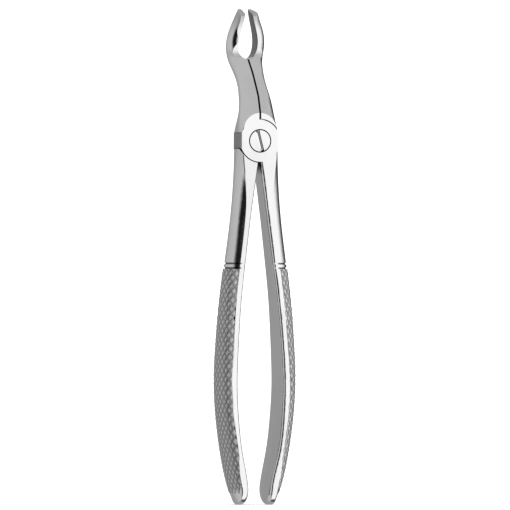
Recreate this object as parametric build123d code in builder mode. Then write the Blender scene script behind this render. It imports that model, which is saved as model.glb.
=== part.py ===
import math
import os

from build123d import *

os.makedirs("parts", exist_ok=True)

# Dental extraction forceps with bayonet beaks, in millimetres. The tool stands on its handles:
# +Z runs up to the beaks, -Y is the front, and the origin lies on the pivot axis in the plane
# of the joint's front face. Two crossing levers are half-lapped and held by one slotted screw.

# Joint
joint_thickness = 9.0
disc_radius = 7.35
disc_half_width = 7.1       # each lapped disc is trimmed at its sides
shoulder_half_width = 7.45
joint_flat = 0.95           # share of the joint's width that is flat at the front and the back
shoulder_above = 3.0        # pivot to the shoulders over the laps
shoulder_below = 2.8        # pivot to the shoulders under the laps
lap_gap = 0.03              # between the lapped faces
rim_gap = 0.2               # round each disc
neck_gap = 0.4              # between the two necks

# Pivot screw
head_diameter = 8.0
head_depth = 1.9
head_land = 0.4             # straight rim above the countersink
journal_diameter = 5.0
thread_diameter = 4.0
slot_width = 1.3
slot_depth = 1.35
slot_tilt = 14.5
running_clearance = 0.03    # journal in the front lever
head_clearance = 0.11       # head in its countersink
thread_clearance = 0.02     # threaded end in the back lever
end_chamfer = 0.25

# Handles
handle_length = 127.8       # pivot to the ends
handle_spread = 14.45       # middle to the widest point of the bow
handle_thickness = 6.3
handle_end_thickness = 5.3
handle_flat = 2.1           # the narrow flat faces at the front and the back
grip_depth = 14.4
end_half_width = 2.6
end_radius = 6.6            # round of the free ends, seen from the side

# Rings over the grip
ring_height = 42.8          # pivot to the first groove
ring_pitch = 1.6
ring_count = 2
ring_width = 0.55
ring_depth = 0.42

# Neck and beaks
face_radius = 6.1           # round end of the joint's flat face, under the necks
face_centre = 3.7
face_fall = 20              # slope of the necks beyond that rim, in degrees
neck_length = 28.8          # pivot to the arch between the beaks
beak_length = 17.9          # arch to the tips
tip_slant = 1.95            # the tips' front corners are this much lower
tip_gap = 2.1
tooth_space = 6.8           # widest room between the beaks

# Edges
grip_edge = 0.7             # outer edges of the handles
palm_edge = 1.2             # inner edges of the handles
beak_edge = 0.2             # outer front edges of the neck and beak
beak_back_edge = 0.4
hollow_edge = 0.8           # inner back edges of the beaks
fine_edge = 0.3
tip_edge = 0.2

# The bow of a handle: share of its length, share of its spread past the joint
bow = [
    (0.00, 0.00), (0.10, 0.10), (0.20, 0.24), (0.32, 0.51), (0.44, 0.78), (0.56, 0.945),
    (0.665, 1.00), (0.76, 0.89), (0.86, 0.63), (0.94, 0.30), (1.00, -0.1),
]
# Neck, by share of its length: set-back of the front and of the back, half-width, centre of the
# side's oval, and how far the oval swells past the neck's depth
neck = [
    (0.10, 0.0, 0.0, 7.35, 0.0, 2.2), (0.20, 0.0, 0.0, 7.05, 0.0, 1.75), (0.34, 0.0, 0.0, 6.4, 0.0, 1.1),
    (0.52, 1.8, 1.4, 5.7, 0.0, 1.12), (0.69, 5.2, 4.4, 5.2, 0.0, 1.16),
    (0.86, 9.1, 9.0, 5.45, 0.2, 1.22), (1.00, 13.0, 11.0, 6.3, 0.8, 1.32),
]
# Beak, the same
beak = [
    (0.27, 13.5, 10.7, 7.05, 2.4, 1.12), (0.57, 12.9, 9.5, 6.25, 2.0, 1.15),
    (0.79, 12.6, 8.8, 4.75, 1.0, 1.2), (1.00, 12.4, 8.7, 2.8, 0.0, 1.8),
]

middle = joint_thickness / 2
flat_top = face_centre + face_radius
tip_height = neck_length + beak_length
far = 2 * handle_length     # long enough to run past the whole tool


def ease(share, start, end):
    """Smooth step from 0 at the start to 1 at the end."""
    step = min(max((share - start) / (end - start), 0), 1)
    return step * step * (3 - 2 * step)


def blend(first, last, amount):
    return first + (last - first) * amount


def bow_reach(share):
    """Outer half-width of the tool at one station of the bow."""
    return blend(shoulder_half_width, handle_spread, share)


def half_depth(share):
    return blend(joint_thickness, grip_depth, ease(share, 0.18, 0.75)) / 2


def grip_radii(share):
    """Radii and centre of the oval that shapes a handle's outer side at a share of its length."""
    full = blend(handle_thickness, handle_end_thickness, ease(share, 0.5, 1))
    thickness = blend(shoulder_half_width, full, ease(share, 0, 0.24))
    flat = blend(joint_flat, handle_flat / full, ease(share, -0.07, 0.24))
    return thickness, half_depth(share) / math.sqrt(1 - flat**2)


def grip_oval(share, reach, inset=0):
    """Oval across a handle, at a share of its length and of its spread."""
    thickness, depth_radius = grip_radii(share)
    centre = (bow_reach(reach) - thickness, middle, -share * handle_length)
    with BuildSketch(Plane(centre)) as oval:
        Ellipse(thickness - inset, depth_radius - inset)
    return oval.sketch


# The round outer side of one lever blank: ovals stacked from the joint down and from the joint up
with BuildPart() as lower_side:
    loft([grip_oval(share, reach) for share, reach in bow])

with BuildPart() as upper_side:
    with BuildSketch(Plane((0, middle, 0))):
        Ellipse(*grip_radii(0))
    rows = [(share * neck_length, *row) for share, *row in neck]
    rows += [(neck_length + share * beak_length, *row) for share, *row in beak]
    for height, front, back, half_width, centre, swell in rows:
        with BuildSketch(Plane((centre, middle + (front + back) / 2, height))):
            radius = (joint_thickness + back - front) / 2
            Ellipse(half_width - centre, swell * radius)
    loft()

# Side view of the whole tool: flat through the joint, deeper at the grips, set back at the beaks
front_line = [(front, share * neck_length) for share, front, *_ in neck[3:]]
back_line = [(joint_thickness + back, share * neck_length) for share, _, back, *_ in neck[3:]]
beak_front = [(front, neck_length + share * beak_length) for share, front, *_ in beak[:-1]]
beak_back = [
    (joint_thickness + back, neck_length + share * beak_length) for share, _, back, *_ in beak[:-1]
]
tip_front = (beak[-1][1], tip_height - tip_slant)
tip_back = (joint_thickness + beak[-1][2], tip_height)
bend = (front_line[-1][0] + 1.2, neck_length + 2.2)

with BuildPart() as upper_profile:
    with BuildSketch(Plane.YZ):
        with BuildLine():
            Polyline((0, flat_top), (0, 0), (joint_thickness, 0), (joint_thickness, flat_top))
            Spline((joint_thickness, flat_top), *back_line, *beak_back, tip_back)
            Line(tip_back, tip_front)
            Spline(tip_front, *reversed(beak_front), bend, *reversed(front_line), (0, flat_top))
        make_face()
    extrude(amount=handle_spread, both=True)

with BuildPart() as lower_profile:
    depths = [(half_depth(share), -share * handle_length) for share in (0.3, 0.45, 0.6, 0.75, 0.88)]
    start = -0.18 * handle_length
    end = end_radius - handle_length
    with BuildSketch(Plane.YZ):
        with BuildLine():
            Polyline((0, start), (0, 0), (joint_thickness, 0), (joint_thickness, start))
            for side in (1, -1):
                Spline(
                    (middle + side * middle, start),
                    *[(middle + side * depth, height) for depth, height in depths],
                    (middle + side * end_radius, end),
                    tangents=[(0, -1), (0, -1)],
                )
            ThreePointArc((middle + end_radius, end), (middle, -handle_length), (middle - end_radius, end))
        make_face()
    extrude(amount=2 * handle_spread, both=True)

# Front view of the room between the levers: handles, necks and tooth space
inner_line = [
    (bow_reach(reach) - grip_radii(share)[0], -share * handle_length) for share, reach in bow[2:-1]
]
with BuildPart() as inner_room:
    with BuildSketch(Plane.XZ):
        with BuildLine():
            Spline(
                (neck_gap / 2, -disc_radius),
                *inner_line,
                (bow_reach(bow[-1][1]) - end_half_width, -handle_length - 1),
            )
            Line((neck_gap / 2, -disc_radius), (neck_gap / 2, neck_length))
            Spline(
                (neck_gap / 2, neck_length),
                (0.8 * tooth_space / 2, neck_length + 0.1 * beak_length),
                (tooth_space / 2, neck_length + 0.27 * beak_length),
                (0.78 * tooth_space / 2, neck_length + 0.57 * beak_length),
                (tip_gap / 2, tip_height + 1),
            )
            Polyline(
                (tip_gap / 2, tip_height + 1),
                (-far, tip_height + 1),
                (-far, -handle_length - 1),
                (bow_reach(bow[-1][1]) - end_half_width, -handle_length - 1),
            )
        make_face()
    extrude(amount=far, both=True)

# Ring grooves round the outer side of a handle
with BuildPart() as ring_cuts:
    for ring in range(ring_count):
        with BuildSketch(Plane.XY.offset(-ring_height - ring * ring_pitch)):
            Rectangle(4 * handle_spread, 4 * handle_spread)
        extrude(amount=-ring_width)
    loft([grip_oval(share, reach, ring_depth) for share, reach in bow], mode=Mode.SUBTRACT)

def rims(found, shortest):
    """Edges that run down a handle at its front and its back, below the joint."""
    below = found.filter_by(lambda edge: edge.length > shortest and (edge @ 0.5).Z < -disc_radius)
    return below.filter_by(lambda edge: abs((edge @ 0.5).Y - middle) > middle / 2)


# The necks fall away from the joint's round flat face
with BuildPart() as neck_fall:
    with BuildSketch(Plane.XY.offset(face_centre)):
        Polygon(
            (0, 0), (face_radius, 0), (far, (far - face_radius) * math.tan(math.radians(face_fall))),
            (far, far), (0, far), align=None,
        )
    revolve(axis=Axis((0, 0, face_centre), (0, 1, 0)))

# One side of the tool: the right handle and the right beak, both ground off at their shoulders
with BuildPart() as handle_blank:
    add(lower_side.part)
    add(lower_profile.part, mode=Mode.INTERSECT)
    add(inner_room.part, mode=Mode.SUBTRACT)
    split(bisect_by=Plane.XY.offset(-shoulder_below), keep=Keep.BOTTOM)
    fillet(rims(faces().filter_by(GeomType.BSPLINE).edges(), 9), grip_edge)
    palm = faces().filter_by(GeomType.EXTRUSION).sort_by(SortBy.AREA)[-1]
    fillet(rims(palm.edges(), 5), palm_edge)
    add(ring_cuts.part, mode=Mode.SUBTRACT)

with BuildPart() as beak_blank:
    add(upper_side.part)
    add(upper_profile.part, mode=Mode.INTERSECT)
    add(inner_room.part, mode=Mode.SUBTRACT)
    split(bisect_by=Plane.XY.offset(shoulder_above), keep=Keep.TOP)
    hollow = edges().filter_by(lambda edge: edge.length > 0.8 * beak_length and (edge @ 0.5).Z > neck_length)
    fillet(hollow.sort_by(Axis.Y)[-1], hollow_edge)
    ridges = edges().filter_by(lambda edge: edge.length > 0.8 * tip_height).sort_by(Axis.Y)
    fillet(ridges[0], beak_edge)
    ridges = edges().filter_by(lambda edge: edge.length > 0.8 * tip_height).sort_by(Axis.Y)
    fillet(ridges[-1], beak_back_edge)
    hollow = edges().filter_by(lambda edge: edge.length > 0.8 * beak_length and (edge @ 0.5).Z > neck_length)
    fillet(hollow.sort_by(Axis.Y)[0], fine_edge)
    fillet(edges().filter_by(lambda edge: (edge @ 0.5).Z > tip_height - tip_slant), tip_edge)
    add(neck_fall.part, mode=Mode.INTERSECT)

# The lapped discs and the room that each lever leaves for the other's disc
front_lap = middle - lap_gap / 2
back_lap = middle + lap_gap / 2

with BuildPart() as discs:
    with BuildSketch(Plane.XZ):
        Circle(disc_radius)
    extrude(amount=-joint_thickness)
    with BuildSketch(Plane((0, middle, -disc_radius))):
        Ellipse(disc_half_width, middle / math.sqrt(1 - joint_flat**2))
    extrude(amount=2 * disc_radius, mode=Mode.INTERSECT)

with BuildPart() as front_lever:
    add(handle_blank.part)
    add(mirror(beak_blank.part, about=Plane.YZ, mode=Mode.PRIVATE))
    with BuildSketch(Plane.XZ.offset(-front_lap)):
        Circle(disc_radius + rim_gap)
    extrude(amount=-joint_thickness, mode=Mode.SUBTRACT)
    add(split(discs.part, bisect_by=Plane.XZ.offset(-front_lap), keep=Keep.TOP, mode=Mode.PRIVATE))
    with BuildSketch(Plane.XZ):
        Circle(journal_diameter / 2 + running_clearance)
    extrude(amount=-joint_thickness, mode=Mode.SUBTRACT)
    with BuildSketch(Plane.XY):
        Polygon(
            (0, 0), (head_diameter / 2, 0), (head_diameter / 2, head_land),
            (journal_diameter / 2 + running_clearance, head_depth + head_clearance),
            (0, head_depth + head_clearance), align=None,
        )
    revolve(axis=Axis.Y, mode=Mode.SUBTRACT)
front_lever.part.label = "front_lever"
export_step(front_lever.part, "parts/front_lever.step")

with BuildPart() as back_lever:
    add(mirror(handle_blank.part, about=Plane.YZ, mode=Mode.PRIVATE))
    add(beak_blank.part)
    with BuildSketch(Plane.XZ.offset(-back_lap)):
        Circle(disc_radius + rim_gap)
    extrude(amount=joint_thickness, mode=Mode.SUBTRACT)
    add(split(discs.part, bisect_by=Plane.XZ.offset(-back_lap), keep=Keep.BOTTOM, mode=Mode.PRIVATE))
    with BuildSketch(Plane.XZ):
        Circle(thread_diameter / 2 + thread_clearance)
    extrude(amount=-joint_thickness, mode=Mode.SUBTRACT)
back_lever.part.label = "back_lever"
export_step(back_lever.part, "parts/back_lever.step")

with BuildPart() as pivot_screw:
    with BuildSketch(Plane.XY):
        Polygon(
            (0, 0), (head_diameter / 2 - head_clearance, 0), (head_diameter / 2 - head_clearance, head_land),
            (journal_diameter / 2, head_depth), (journal_diameter / 2, back_lap),
            (thread_diameter / 2, back_lap), (thread_diameter / 2, joint_thickness - end_chamfer),
            (thread_diameter / 2 - end_chamfer, joint_thickness), (0, joint_thickness), align=None,
        )
    revolve(axis=Axis.Y)
    with BuildSketch(Plane.XZ):
        Rectangle(slot_width, 2 * head_diameter, rotation=slot_tilt)
    extrude(amount=-slot_depth, mode=Mode.SUBTRACT)
pivot_screw.part.label = "pivot_screw"
export_step(pivot_screw.part, "parts/pivot_screw.step")
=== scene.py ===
# Extraction forceps on a plain pale floor: polished steel, knurled grips, soft studio light.
import math

import bpy
from mathutils import Matrix, Vector
from mathutils.bvhtree import BVHTree


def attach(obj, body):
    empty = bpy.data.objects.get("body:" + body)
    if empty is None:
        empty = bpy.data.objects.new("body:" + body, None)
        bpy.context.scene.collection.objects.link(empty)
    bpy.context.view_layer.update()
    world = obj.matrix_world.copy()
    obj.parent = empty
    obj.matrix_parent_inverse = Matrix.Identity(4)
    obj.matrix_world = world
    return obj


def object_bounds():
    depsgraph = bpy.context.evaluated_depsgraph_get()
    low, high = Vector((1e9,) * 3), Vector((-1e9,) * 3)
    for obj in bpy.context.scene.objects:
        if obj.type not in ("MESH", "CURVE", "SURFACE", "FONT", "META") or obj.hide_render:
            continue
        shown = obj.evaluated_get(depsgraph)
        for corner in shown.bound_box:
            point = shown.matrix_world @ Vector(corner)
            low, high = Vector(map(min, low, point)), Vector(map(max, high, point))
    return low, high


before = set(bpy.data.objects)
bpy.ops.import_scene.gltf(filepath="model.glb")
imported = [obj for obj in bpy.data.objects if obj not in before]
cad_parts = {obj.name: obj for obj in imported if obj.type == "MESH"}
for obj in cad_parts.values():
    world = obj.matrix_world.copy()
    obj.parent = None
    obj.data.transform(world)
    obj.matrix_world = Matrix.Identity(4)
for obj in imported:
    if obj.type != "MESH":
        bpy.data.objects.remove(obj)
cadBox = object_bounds()
mm = 0.001
levers = {"left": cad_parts["back_lever"], "right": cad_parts["front_lever"]}
leverBody = {"left": "back_half", "right": "front_half"}
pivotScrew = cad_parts["pivot_screw"]


# camera: a long lens, low and a little to the left of the joint's front face
cameraSetup = {"turn": 19.5, "roll": 0.33, "lens": 800, "fieldWidth": 179 * mm,
               "aim": (-1.49 * mm, 0.53 * mm, -40.08 * mm)}


def addCamera(setup):
    lensData = bpy.data.cameras.new("productLens")
    lensData.lens = setup["lens"]
    lensData.clip_start = 0.05
    lensData.clip_end = 20
    cameraObject = bpy.data.objects.new("productCamera", lensData)
    bpy.context.scene.collection.objects.link(cameraObject)
    turn = math.radians(setup["turn"])
    look = Vector((math.sin(turn), math.cos(turn), 0))
    distance = setup["fieldWidth"] * setup["lens"] / lensData.sensor_width
    cameraObject.location = Vector(setup["aim"]) - look * distance
    facing = look.to_track_quat("-Z", "Y")
    cameraObject.rotation_mode = "QUATERNION"
    roll = Matrix.Rotation(math.radians(setup["roll"]), 3, "Z").to_quaternion()
    cameraObject.rotation_quaternion = facing @ roll
    bpy.context.scene.camera = cameraObject


addCamera(cameraSetup)
print("camera placed")


# small helpers for materials
def newMaterial(name):
    material = bpy.data.materials.new(name)
    material.use_nodes = True
    nodes = material.node_tree.nodes
    nodes.clear()
    return material, nodes, material.node_tree.links


def addNode(nodes, kind, **settings):
    node = nodes.new(kind)
    for name, value in settings.items():
        setattr(node, name, value)
    return node


def setRamp(node, stops):
    ramp = node.color_ramp
    while len(ramp.elements) > 1:
        ramp.elements.remove(ramp.elements[-1])
    for index, (place, grey) in enumerate(stops):
        spot = ramp.elements[0] if index == 0 else ramp.elements.new(place)
        spot.position = place
        spot.color = (grey, grey, grey, 1)


# the light tent round the tool: white in front, dark edges at the sides, grey behind
tentSetup = {"radius": 0.6, "strength": 1.0, "place": (0, 0, -0.04),
             "round": [(0.0, 0.36), (0.055, 0.34), (0.1, 0.42), (0.14, 0.52), (0.31, 0.6),
                       (0.325, 0.55), (0.372, 0.01), (0.434, 0.01), (0.484, 1.09), (0.7, 1.09),
                       (0.8, 0.1), (0.86, 0.05), (0.9, 0.34), (0.95, 0.42), (1.0, 0.36)],
             "overhead": 0.55, "low": 0.22, "high": 0.45}


def addTent(setup):
    bpy.ops.object.select_all(action="DESELECT")
    bpy.ops.mesh.primitive_uv_sphere_add(segments=64, ring_count=32, radius=setup["radius"],
                                         location=setup["place"])
    tent = bpy.context.object
    tent.name = "lightTent"
    bpy.ops.object.shade_smooth()
    bpy.ops.object.transform_apply(location=True)
    material, nodes, links = newMaterial("tentCloth")
    place = addNode(nodes, "ShaderNodeTexCoord")
    split = addNode(nodes, "ShaderNodeSeparateXYZ")
    links.new(place.outputs["Object"], split.inputs[0])
    toBack = addNode(nodes, "ShaderNodeMath", operation="MULTIPLY")
    toBack.inputs[1].default_value = -1
    links.new(split.outputs["Y"], toBack.inputs[0])
    bearing = addNode(nodes, "ShaderNodeMath", operation="ARCTAN2")
    links.new(split.outputs["X"], bearing.inputs[0])
    links.new(toBack.outputs[0], bearing.inputs[1])
    share = addNode(nodes, "ShaderNodeMapRange")
    share.inputs["From Min"].default_value = -math.pi
    share.inputs["From Max"].default_value = math.pi
    links.new(bearing.outputs[0], share.inputs["Value"])
    roundRamp = addNode(nodes, "ShaderNodeValToRGB")
    setRamp(roundRamp, [(at, level / 2) for at, level in setup["round"]])
    links.new(share.outputs[0], roundRamp.inputs[0])
    rise = addNode(nodes, "ShaderNodeMapRange", interpolation_type="SMOOTHSTEP")
    rise.inputs["From Min"].default_value = setup["low"] * setup["radius"]
    rise.inputs["From Max"].default_value = setup["high"] * setup["radius"]
    links.new(split.outputs["Z"], rise.inputs["Value"])
    top = addNode(nodes, "ShaderNodeMix", data_type="RGBA")
    links.new(rise.outputs[0], top.inputs["Factor"])
    links.new(roundRamp.outputs[0], top.inputs["A"])
    top.inputs["B"].default_value = [setup["overhead"] / 2] * 3 + [1]
    light = addNode(nodes, "ShaderNodeEmission")
    light.inputs["Strength"].default_value = 2 * setup["strength"]
    links.new(top.outputs["Result"], light.inputs["Color"])
    out = addNode(nodes, "ShaderNodeOutputMaterial")
    links.new(light.outputs[0], out.inputs["Surface"])
    tent.data.materials.append(material)
    tent.visible_camera = False
    tent.visible_shadow = False
    tent.visible_diffuse = False


addTent(tentSetup)


# plain pale floor and room light
floorSetup = {"radius": 6, "tone": 0.9, "roomLight": 1.5}


def addFloor(setup):
    bpy.ops.object.select_all(action="DESELECT")
    bpy.ops.mesh.primitive_circle_add(vertices=96, radius=setup["radius"], fill_type="NGON",
                                      location=(0, 0, cadBox[0].z))
    floor = bpy.context.object
    floor.name = "paleFloor"
    bpy.ops.object.transform_apply(location=True)
    material, nodes, links = newMaterial("paleFloorPaper")
    paper = addNode(nodes, "ShaderNodeBsdfDiffuse")
    paper.inputs["Color"].default_value = [setup["tone"]] * 3 + [1]
    out = addNode(nodes, "ShaderNodeOutputMaterial")
    links.new(paper.outputs[0], out.inputs["Surface"])
    floor.data.materials.append(material)
    floor.visible_glossy = False
    world = bpy.data.worlds.new("whiteRoom")
    bpy.context.scene.world = world
    world.use_nodes = True
    background = world.node_tree.nodes["Background"]
    background.inputs["Color"].default_value = (1, 1, 1, 1)
    background.inputs["Strength"].default_value = setup["roomLight"]


addFloor(floorSetup)
bpy.context.scene.view_settings.view_transform = "Standard"
print("stage and light placed")


# polished steel for the levers and the screw: polishing lines, patches, scuffs, and painted shade in the gaps
# the darkest tone below is painted shade for the gaps, slot walls and crotch, and the ring strength is
# painted shade for the ring grooves
steelSetup = {"tone": 0.86, "patchTone": 0.80, "roughness": 0.05, "patchRoughness": 0.13,
              "scuffRoughness": 0.24, "grain": 0.035, "grainDepth": 0.1 * mm, "gapShadeTone": 0.03,
              "lapTone": 0.42, "slotTone": 0.9, "tipTone": 0.62, "tipRoughness": 0.5, "biteTone": 0.30,
              "biteRoughness": 0.42, "ringShade": 0.85}
gapSetup = {"frontLine": [(0.0, 0.0), (0.108, 0.0), (0.351, 0.138), (0.581, 0.40), (0.811, 0.70), (1.0, 1.0)],
            "setBack": 13.0 * mm, "lineDepth": 1.2 * mm,
            "rim": 7.55 * mm, "rimLine": 0.17 * mm, "head": 4.0 * mm, "headLine": 0.14 * mm,
            "headDepth": 0.8 * mm, "wall": 0.3 * mm, "neck": 0.2 * mm, "neckLine": 0.13 * mm,
            "neckBottom": 7.5 * mm, "neckTop": 28.8 * mm, "lap": 2.9 * mm, "lapReach": 6.9 * mm,
            "lapDepth": 4.5 * mm, "slotWallTop": 0.1 * mm, "slotWallBottom": 0.9 * mm, "slotFloor": 1.28 * mm,
            "biteBottom": 29.6 * mm, "archBottom": 30.2 * mm, "archTop": 31.2 * mm, "archSoft": 1.4 * mm,
            "tipBottom": 37.5 * mm, "tipTop": 44.5 * mm, "ring": 42.8 * mm, "ringPitch": 1.6 * mm,
            "ringWidth": 0.55 * mm, "ringCount": 2, "crotchTop": -7.6 * mm, "crotchBottom": -13 * mm,
            "crotchHalf": 2.4 * mm}


def calc(tree, operation, first, second=0.0):
    node = addNode(tree.nodes, "ShaderNodeMath", operation=operation)
    for socket, value in zip(node.inputs, (first, second)):
        if isinstance(value, (int, float)):
            socket.default_value = value
        else:
            tree.links.new(value, socket)
    return node.outputs[0]


def fade(tree, value, start, end):
    # rises smoothly from 0 at start to 1 at end
    node = addNode(tree.nodes, "ShaderNodeMapRange", interpolation_type="SMOOTHSTEP")
    node.inputs["From Min"].default_value = start
    node.inputs["From Max"].default_value = end
    tree.links.new(value, node.inputs["Value"])
    return node.outputs[0]


def within(tree, value, low, high, soft=0.05 * mm):
    return calc(tree, "MULTIPLY", fade(tree, value, low - soft, low), fade(tree, value, high + soft, high))


def allOf(tree, *masks):
    total = masks[0]
    for mask in masks[1:]:
        total = calc(tree, "MULTIPLY", total, mask)
    return total


def anyOf(tree, *masks):
    total = masks[0]
    for mask in masks[1:]:
        total = calc(tree, "MAXIMUM", total, mask)
    return total


def mixValue(tree, amount, first, second):
    node = addNode(tree.nodes, "ShaderNodeMix", data_type="FLOAT")
    tree.links.new(amount, node.inputs["Factor"])
    for name, value in (("A", first), ("B", second)):
        if isinstance(value, (int, float)):
            node.inputs[name].default_value = value
        else:
            tree.links.new(value, node.inputs[name])
    return node.outputs["Result"]


def speckle(tree, place, stretch, detail):
    # noise that a Mapping node stretches along one way
    mapping = addNode(tree.nodes, "ShaderNodeMapping")
    mapping.inputs["Scale"].default_value = stretch
    tree.links.new(place, mapping.inputs["Vector"])
    noise = addNode(tree.nodes, "ShaderNodeTexNoise")
    noise.inputs["Scale"].default_value = 1
    noise.inputs["Detail"].default_value = detail
    tree.links.new(mapping.outputs[0], noise.inputs["Vector"])
    return noise.outputs["Fac"]


def nearFront(tree, y, z, gaps):
    # 1 just behind the neck's front, which is set back as it rises, and 0 deeper in the gap
    climb = calc(tree, "DIVIDE", calc(tree, "SUBTRACT", z, gaps["neckBottom"]),
                 gaps["neckTop"] - gaps["neckBottom"])
    frontLine = addNode(tree.nodes, "ShaderNodeValToRGB")
    setRamp(frontLine, gaps["frontLine"])
    tree.links.new(climb, frontLine.inputs[0])
    front = calc(tree, "MULTIPLY", frontLine.outputs[0], gaps["setBack"])
    return fade(tree, calc(tree, "SUBTRACT", y, front), gaps["lineDepth"] + 1.0 * mm, gaps["lineDepth"])


def polishedSteel(name, role, setup, gaps):
    material, nodes, links = newMaterial(name)
    tree = material.node_tree
    place = addNode(nodes, "ShaderNodeTexCoord")
    split = addNode(nodes, "ShaderNodeSeparateXYZ")
    links.new(place.outputs["Object"], split.inputs[0])
    facing = addNode(nodes, "ShaderNodeSeparateXYZ")
    links.new(place.outputs["Normal"], facing.inputs[0])
    x, y, z = split.outputs
    reach = calc(tree, "SQRT", calc(tree, "ADD", calc(tree, "MULTIPLY", x, x), calc(tree, "MULTIPLY", z, z)))
    sideways = calc(tree, "ABSOLUTE", x)

    # tone and roughness of the bare steel
    patches = fade(tree, speckle(tree, place.outputs["Object"], (90, 90, 45), 3), 0.42, 0.66)
    scuffs = fade(tree, speckle(tree, place.outputs["Object"], (2600, 900, 260), 4), 0.64, 0.74)
    lines = speckle(tree, place.outputs["Object"], (3200, 3200, 110), 5)
    tone = mixValue(tree, patches, setup["tone"], setup["patchTone"])
    roughness = mixValue(tree, patches, setup["roughness"], setup["patchRoughness"])
    roughness = mixValue(tree, scuffs, roughness, setup["scuffRoughness"])

    # painted shade: near-black colour in the narrow gaps and along their rims, where shade falls
    if role == "screw":
        # painted shade on the slot's walls and round the rim of the screw head
        slot = within(tree, y, gaps["slotWallTop"], gaps["slotWallBottom"])
        headRim = fade(tree, reach, gaps["head"] - 2.2 * gaps["headLine"],
                       gaps["head"] - 1.6 * gaps["headLine"])
        paintedShade = anyOf(tree, slot, headRim)
        floor = fade(tree, y, gaps["slotFloor"], gaps["slotFloor"] + 0.04 * mm)
        tone = mixValue(tree, floor, tone, setup["slotTone"])
    else:
        # painted shade down the narrow gap between the two necks, near its front
        neck = allOf(tree, fade(tree, sideways, gaps["neck"] + gaps["neckLine"] + 0.05 * mm,
                                gaps["neck"] + gaps["neckLine"]),
                     within(tree, z, gaps["neckBottom"], gaps["neckTop"]), nearFront(tree, y, z, gaps))
        # painted shade on the inner walls where the levers cross below the joint, darker towards the joint
        crotch = allOf(tree, fade(tree, z, gaps["crotchBottom"], gaps["crotchTop"]),
                       fade(tree, z, gaps["crotchTop"] + 0.6 * mm, gaps["crotchTop"]),
                       fade(tree, calc(tree, "ABSOLUTE", facing.outputs["X"]), 0.6, 0.85),
                       fade(tree, sideways, gaps["crotchHalf"] + 1.0 * mm, gaps["crotchHalf"]))
        # painted shade in the thin ring gap round the joint disc or round the screw head
        if role == "back":
            rim = allOf(tree, within(tree, reach, gaps["rim"] - gaps["wall"], gaps["rim"] + gaps["rimLine"]),
                        fade(tree, y, gaps["lapDepth"], gaps["lapDepth"] - 0.2 * mm))
        else:
            rim = allOf(tree, within(tree, reach, gaps["head"] - gaps["wall"],
                                     gaps["head"] + gaps["headLine"]),
                        fade(tree, y, gaps["headDepth"] + 0.2 * mm, gaps["headDepth"]))
        rounded = allOf(tree, fade(tree, facing.outputs["Y"], -0.985, -0.94),
                        fade(tree, calc(tree, "MULTIPLY", facing.outputs["X"], x), 0.5 * mm, 2 * mm))
        # painted shade for two ring grooves round the rounded outer side of each lever
        rings = [within(tree, z, -gaps["ring"] - at * gaps["ringPitch"] - gaps["ringWidth"],
                        -gaps["ring"] - at * gaps["ringPitch"], 0.1 * mm) for at in range(gaps["ringCount"])]
        rings = allOf(tree, anyOf(tree, *rings), rounded)
        paintedShade = anyOf(tree, neck, rim, crotch, calc(tree, "MULTIPLY", rings, setup["ringShade"]))

        # the lapped sides are ground, so rougher, and are given a darker grey; the beaks bite with a rough
        # inner side
        lap = allOf(tree, fade(tree, calc(tree, "ABSOLUTE", z), gaps["lap"] + 0.1 * mm, gaps["lap"]),
                    fade(tree, reach, gaps["lapReach"] - 0.2 * mm, gaps["lapReach"]),
                    fade(tree, y, 0.2 * mm, 0.5 * mm))
        inward = -1 if role == "back" else 1
        bite = allOf(tree, fade(tree, z, gaps["biteBottom"] - 1.0 * mm, gaps["biteBottom"]),
                     fade(tree, calc(tree, "MULTIPLY", facing.outputs["X"], inward), 0.45, 0.7))
        rough = speckle(tree, place.outputs["Object"], (1500, 1500, 1900), 4)
        tips = fade(tree, z, gaps["tipBottom"], gaps["tipTop"])
        arch = within(tree, z, gaps["archBottom"], gaps["archTop"], gaps["archSoft"])
        tone = mixValue(tree, tips, tone, setup["tipTone"])
        roughness = mixValue(tree, anyOf(tree, tips, arch), roughness, setup["tipRoughness"])
        tone = mixValue(tree, lap, tone, setup["lapTone"])
        mottle = mixValue(tree, rough, 0.5 * setup["biteTone"], 1.7 * setup["biteTone"])
        tone = mixValue(tree, bite, tone, mottle)
        roughness = mixValue(tree, anyOf(tree, lap, bite), roughness, setup["biteRoughness"])
        lines = mixValue(tree, bite, lines, calc(tree, "MULTIPLY", rough, 6))
    # lay the painted shade over the steel's tone
    tone = mixValue(tree, paintedShade, tone, setup["gapShadeTone"])

    steel = addNode(nodes, "ShaderNodeBsdfPrincipled")
    steel.inputs["Metallic"].default_value = 1
    grey = addNode(nodes, "ShaderNodeCombineColor")
    for channel in grey.inputs:
        links.new(tone, channel)
    links.new(grey.outputs[0], steel.inputs["Base Color"])
    links.new(roughness, steel.inputs["Roughness"])
    bump = addNode(nodes, "ShaderNodeBump")
    bump.inputs["Strength"].default_value = setup["grain"]
    bump.inputs["Distance"].default_value = setup["grainDepth"]
    links.new(lines, bump.inputs["Height"])
    links.new(bump.outputs[0], steel.inputs["Normal"])
    out = addNode(nodes, "ShaderNodeOutputMaterial")
    links.new(steel.outputs[0], out.inputs["Surface"])
    return material


for piece, role in ((levers["left"], "back"), (levers["right"], "front"), (pivotScrew, "screw")):
    piece.data.materials.clear()
    piece.data.materials.append(polishedSteel(role + "Steel", role, steelSetup, gapSetup))
print("steel assigned")


# diamond knurl over the outer side of each grip
knurlSetup = {"top": -45.05 * mm, "bottom": -124.2 * mm, "pitch": 3.1 * mm, "across": 2.0 * mm,
              "height": 0.3 * mm, "lift": 0.03 * mm, "sink": 0.12 * mm, "edge": 0.04 * mm,
              "endEdge": 0.3 * mm, "endTop": -120.5 * mm, "shell": 0.5 * mm, "core": 4.25 * mm,
              "wall": 0.6 * mm, "turn": 1.5, "steps": 10, "columns": 120, "roughness": 0.42,
              "middle": 4.5 * mm, "outside": 50 * mm}


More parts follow.
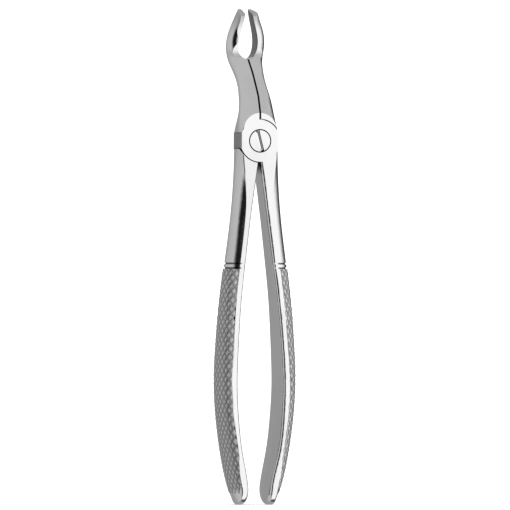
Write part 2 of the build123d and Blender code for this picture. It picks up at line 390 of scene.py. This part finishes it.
def knurlSteel(setup):
    material, nodes, links = newMaterial("knurledSteel")
    steel = addNode(nodes, "ShaderNodeBsdfPrincipled")
    steel.inputs["Metallic"].default_value = 1
    relief = addNode(nodes, "ShaderNodeAttribute", attribute_name="relief")
    # colour runs from dark in the grooves to lighter on the diamond tops: painted shade in the knurl's
    # grooves
    ramp = addNode(nodes, "ShaderNodeValToRGB")
    setRamp(ramp, [(0.0, 0.30), (0.45, 0.62), (1.0, 0.80)])
    links.new(relief.outputs["Fac"], ramp.inputs[0])
    links.new(ramp.outputs[0], steel.inputs["Base Color"])
    steel.inputs["Roughness"].default_value = setup["roughness"]
    out = addNode(nodes, "ShaderNodeOutputMaterial")
    links.new(steel.outputs[0], out.inputs["Surface"])
    return material


def outerArc(tree, outward, height, setup):
    # points round the outer side of a grip at one height, from its front face to its back face
    middleY = setup["middle"]
    start = Vector((outward * setup["outside"], middleY, height))
    reach = tree.ray_cast(start, Vector((-outward, 0, 0)))[0].x
    justInside = Vector((reach - outward * setup["wall"], middleY, height))
    thickness = abs(reach - tree.ray_cast(justInside, Vector((-outward, 0, 0)))[0].x)
    core = min(setup["core"], thickness - setup["wall"])
    centre = Vector((reach - outward * core, middleY, height))
    hits = []
    for step in range(round(180 / setup["turn"]) + 1):
        angle = math.radians(step * setup["turn"])
        ray = Vector((outward * math.sin(angle), -math.cos(angle), 0))
        hits.append(tree.ray_cast(centre, ray)[:2])
    # the round free end is faceted more coarsely than the straight grip, so its flat needs a wider margin
    edge = setup["endEdge"] if height < setup["endTop"] else setup["edge"]
    front = min(place.y for place, facing in hits) + edge
    back = max(place.y for place, facing in hits) - edge
    return [hit for hit in hits if front < hit[0].y < back]


def alongArc(arc, lengths, target):
    # place and facing at a distance along the arc, and how far past its ends that distance is
    past = max(lengths[0] - target, target - lengths[-1], 0)
    target = min(max(target, lengths[0]), lengths[-1])
    index = 0
    while index < len(lengths) - 2 and lengths[index + 1] < target:
        index += 1
    share = (target - lengths[index]) / (lengths[index + 1] - lengths[index])
    place = arc[index][0].lerp(arc[index + 1][0], share)
    facing = arc[index][1].lerp(arc[index + 1][1], share).normalized()
    return place, facing, past


def diamondHeight(along, down):
    # 1 at the middle of a diamond and 0 in the grooves; also the middle of that diamond
    first, second = along + down, along - down
    height = min(1 - abs(2 * (first % 1) - 1), 1 - abs(2 * (second % 1) - 1))
    firstMiddle, secondMiddle = math.floor(first) + 0.5, math.floor(second) + 0.5
    return height, (firstMiddle + secondMiddle) / 2, (firstMiddle - secondMiddle) / 2


def addKnurl(side, setup, material):
    outward = -1 if side == "left" else 1
    lever = levers[side].data
    tree = BVHTree.FromPolygons([v.co for v in lever.vertices], [p.vertices for p in lever.polygons])
    rows = round((setup["top"] - setup["bottom"]) / setup["pitch"] * setup["steps"])
    bpy.ops.object.select_all(action="DESELECT")
    bpy.ops.mesh.primitive_grid_add(x_subdivisions=setup["columns"], y_subdivisions=rows, size=10 * mm)
    knurl = bpy.context.object
    knurl.name = side + "GripKnurl"
    mesh = knurl.data
    reliefs = []
    step = setup["across"] / setup["steps"]
    wide = setup["columns"] + 1
    for row in range(rows + 1):
        down = row / setup["steps"]
        height = setup["top"] - down * setup["pitch"]
        arc = outerArc(tree, outward, height, setup)
        lengths = [0]
        for before, after in zip(arc, arc[1:]):
            lengths.append(lengths[-1] + (after[0] - before[0]).length)
        middle = lengths[-1] / 2
        lengths = [length - middle for length in lengths]
        for column in range(wide):
            along = (column - setup["columns"] / 2) * step
            place, facing, past = alongArc(arc, lengths, along)
            relief, diamondAlong, diamondDown = diamondHeight(along / setup["across"], down)
            inside = abs(diamondAlong * setup["across"]) < middle + 0.1 * setup["across"]
            inside = inside and -0.1 < diamondDown < rows / setup["steps"] - 0.2
            raised = setup["lift"] + relief * setup["height"] if inside and not past else -setup["sink"]
            mesh.vertices[row * wide + column].co = place + facing * raised
            reliefs.append(relief if inside else 0)
    shade = mesh.attributes.new("relief", "FLOAT", "POINT")
    shade.data.foreach_set("value", reliefs)
    mesh.update()
    if outward * sum(face.normal.x * face.area for face in mesh.polygons) < 0:
        mesh.flip_normals()
    shell = knurl.modifiers.new("shell", "SOLIDIFY")
    shell.thickness = setup["shell"]
    shell.offset = -1
    bpy.ops.object.modifier_apply(modifier="shell")
    mesh.materials.append(material)
    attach(knurl, leverBody[side])


knurlMaterial = knurlSteel(knurlSetup)
for side in ("left", "right"):
    addKnurl(side, knurlSetup, knurlMaterial)
print("knurl added")
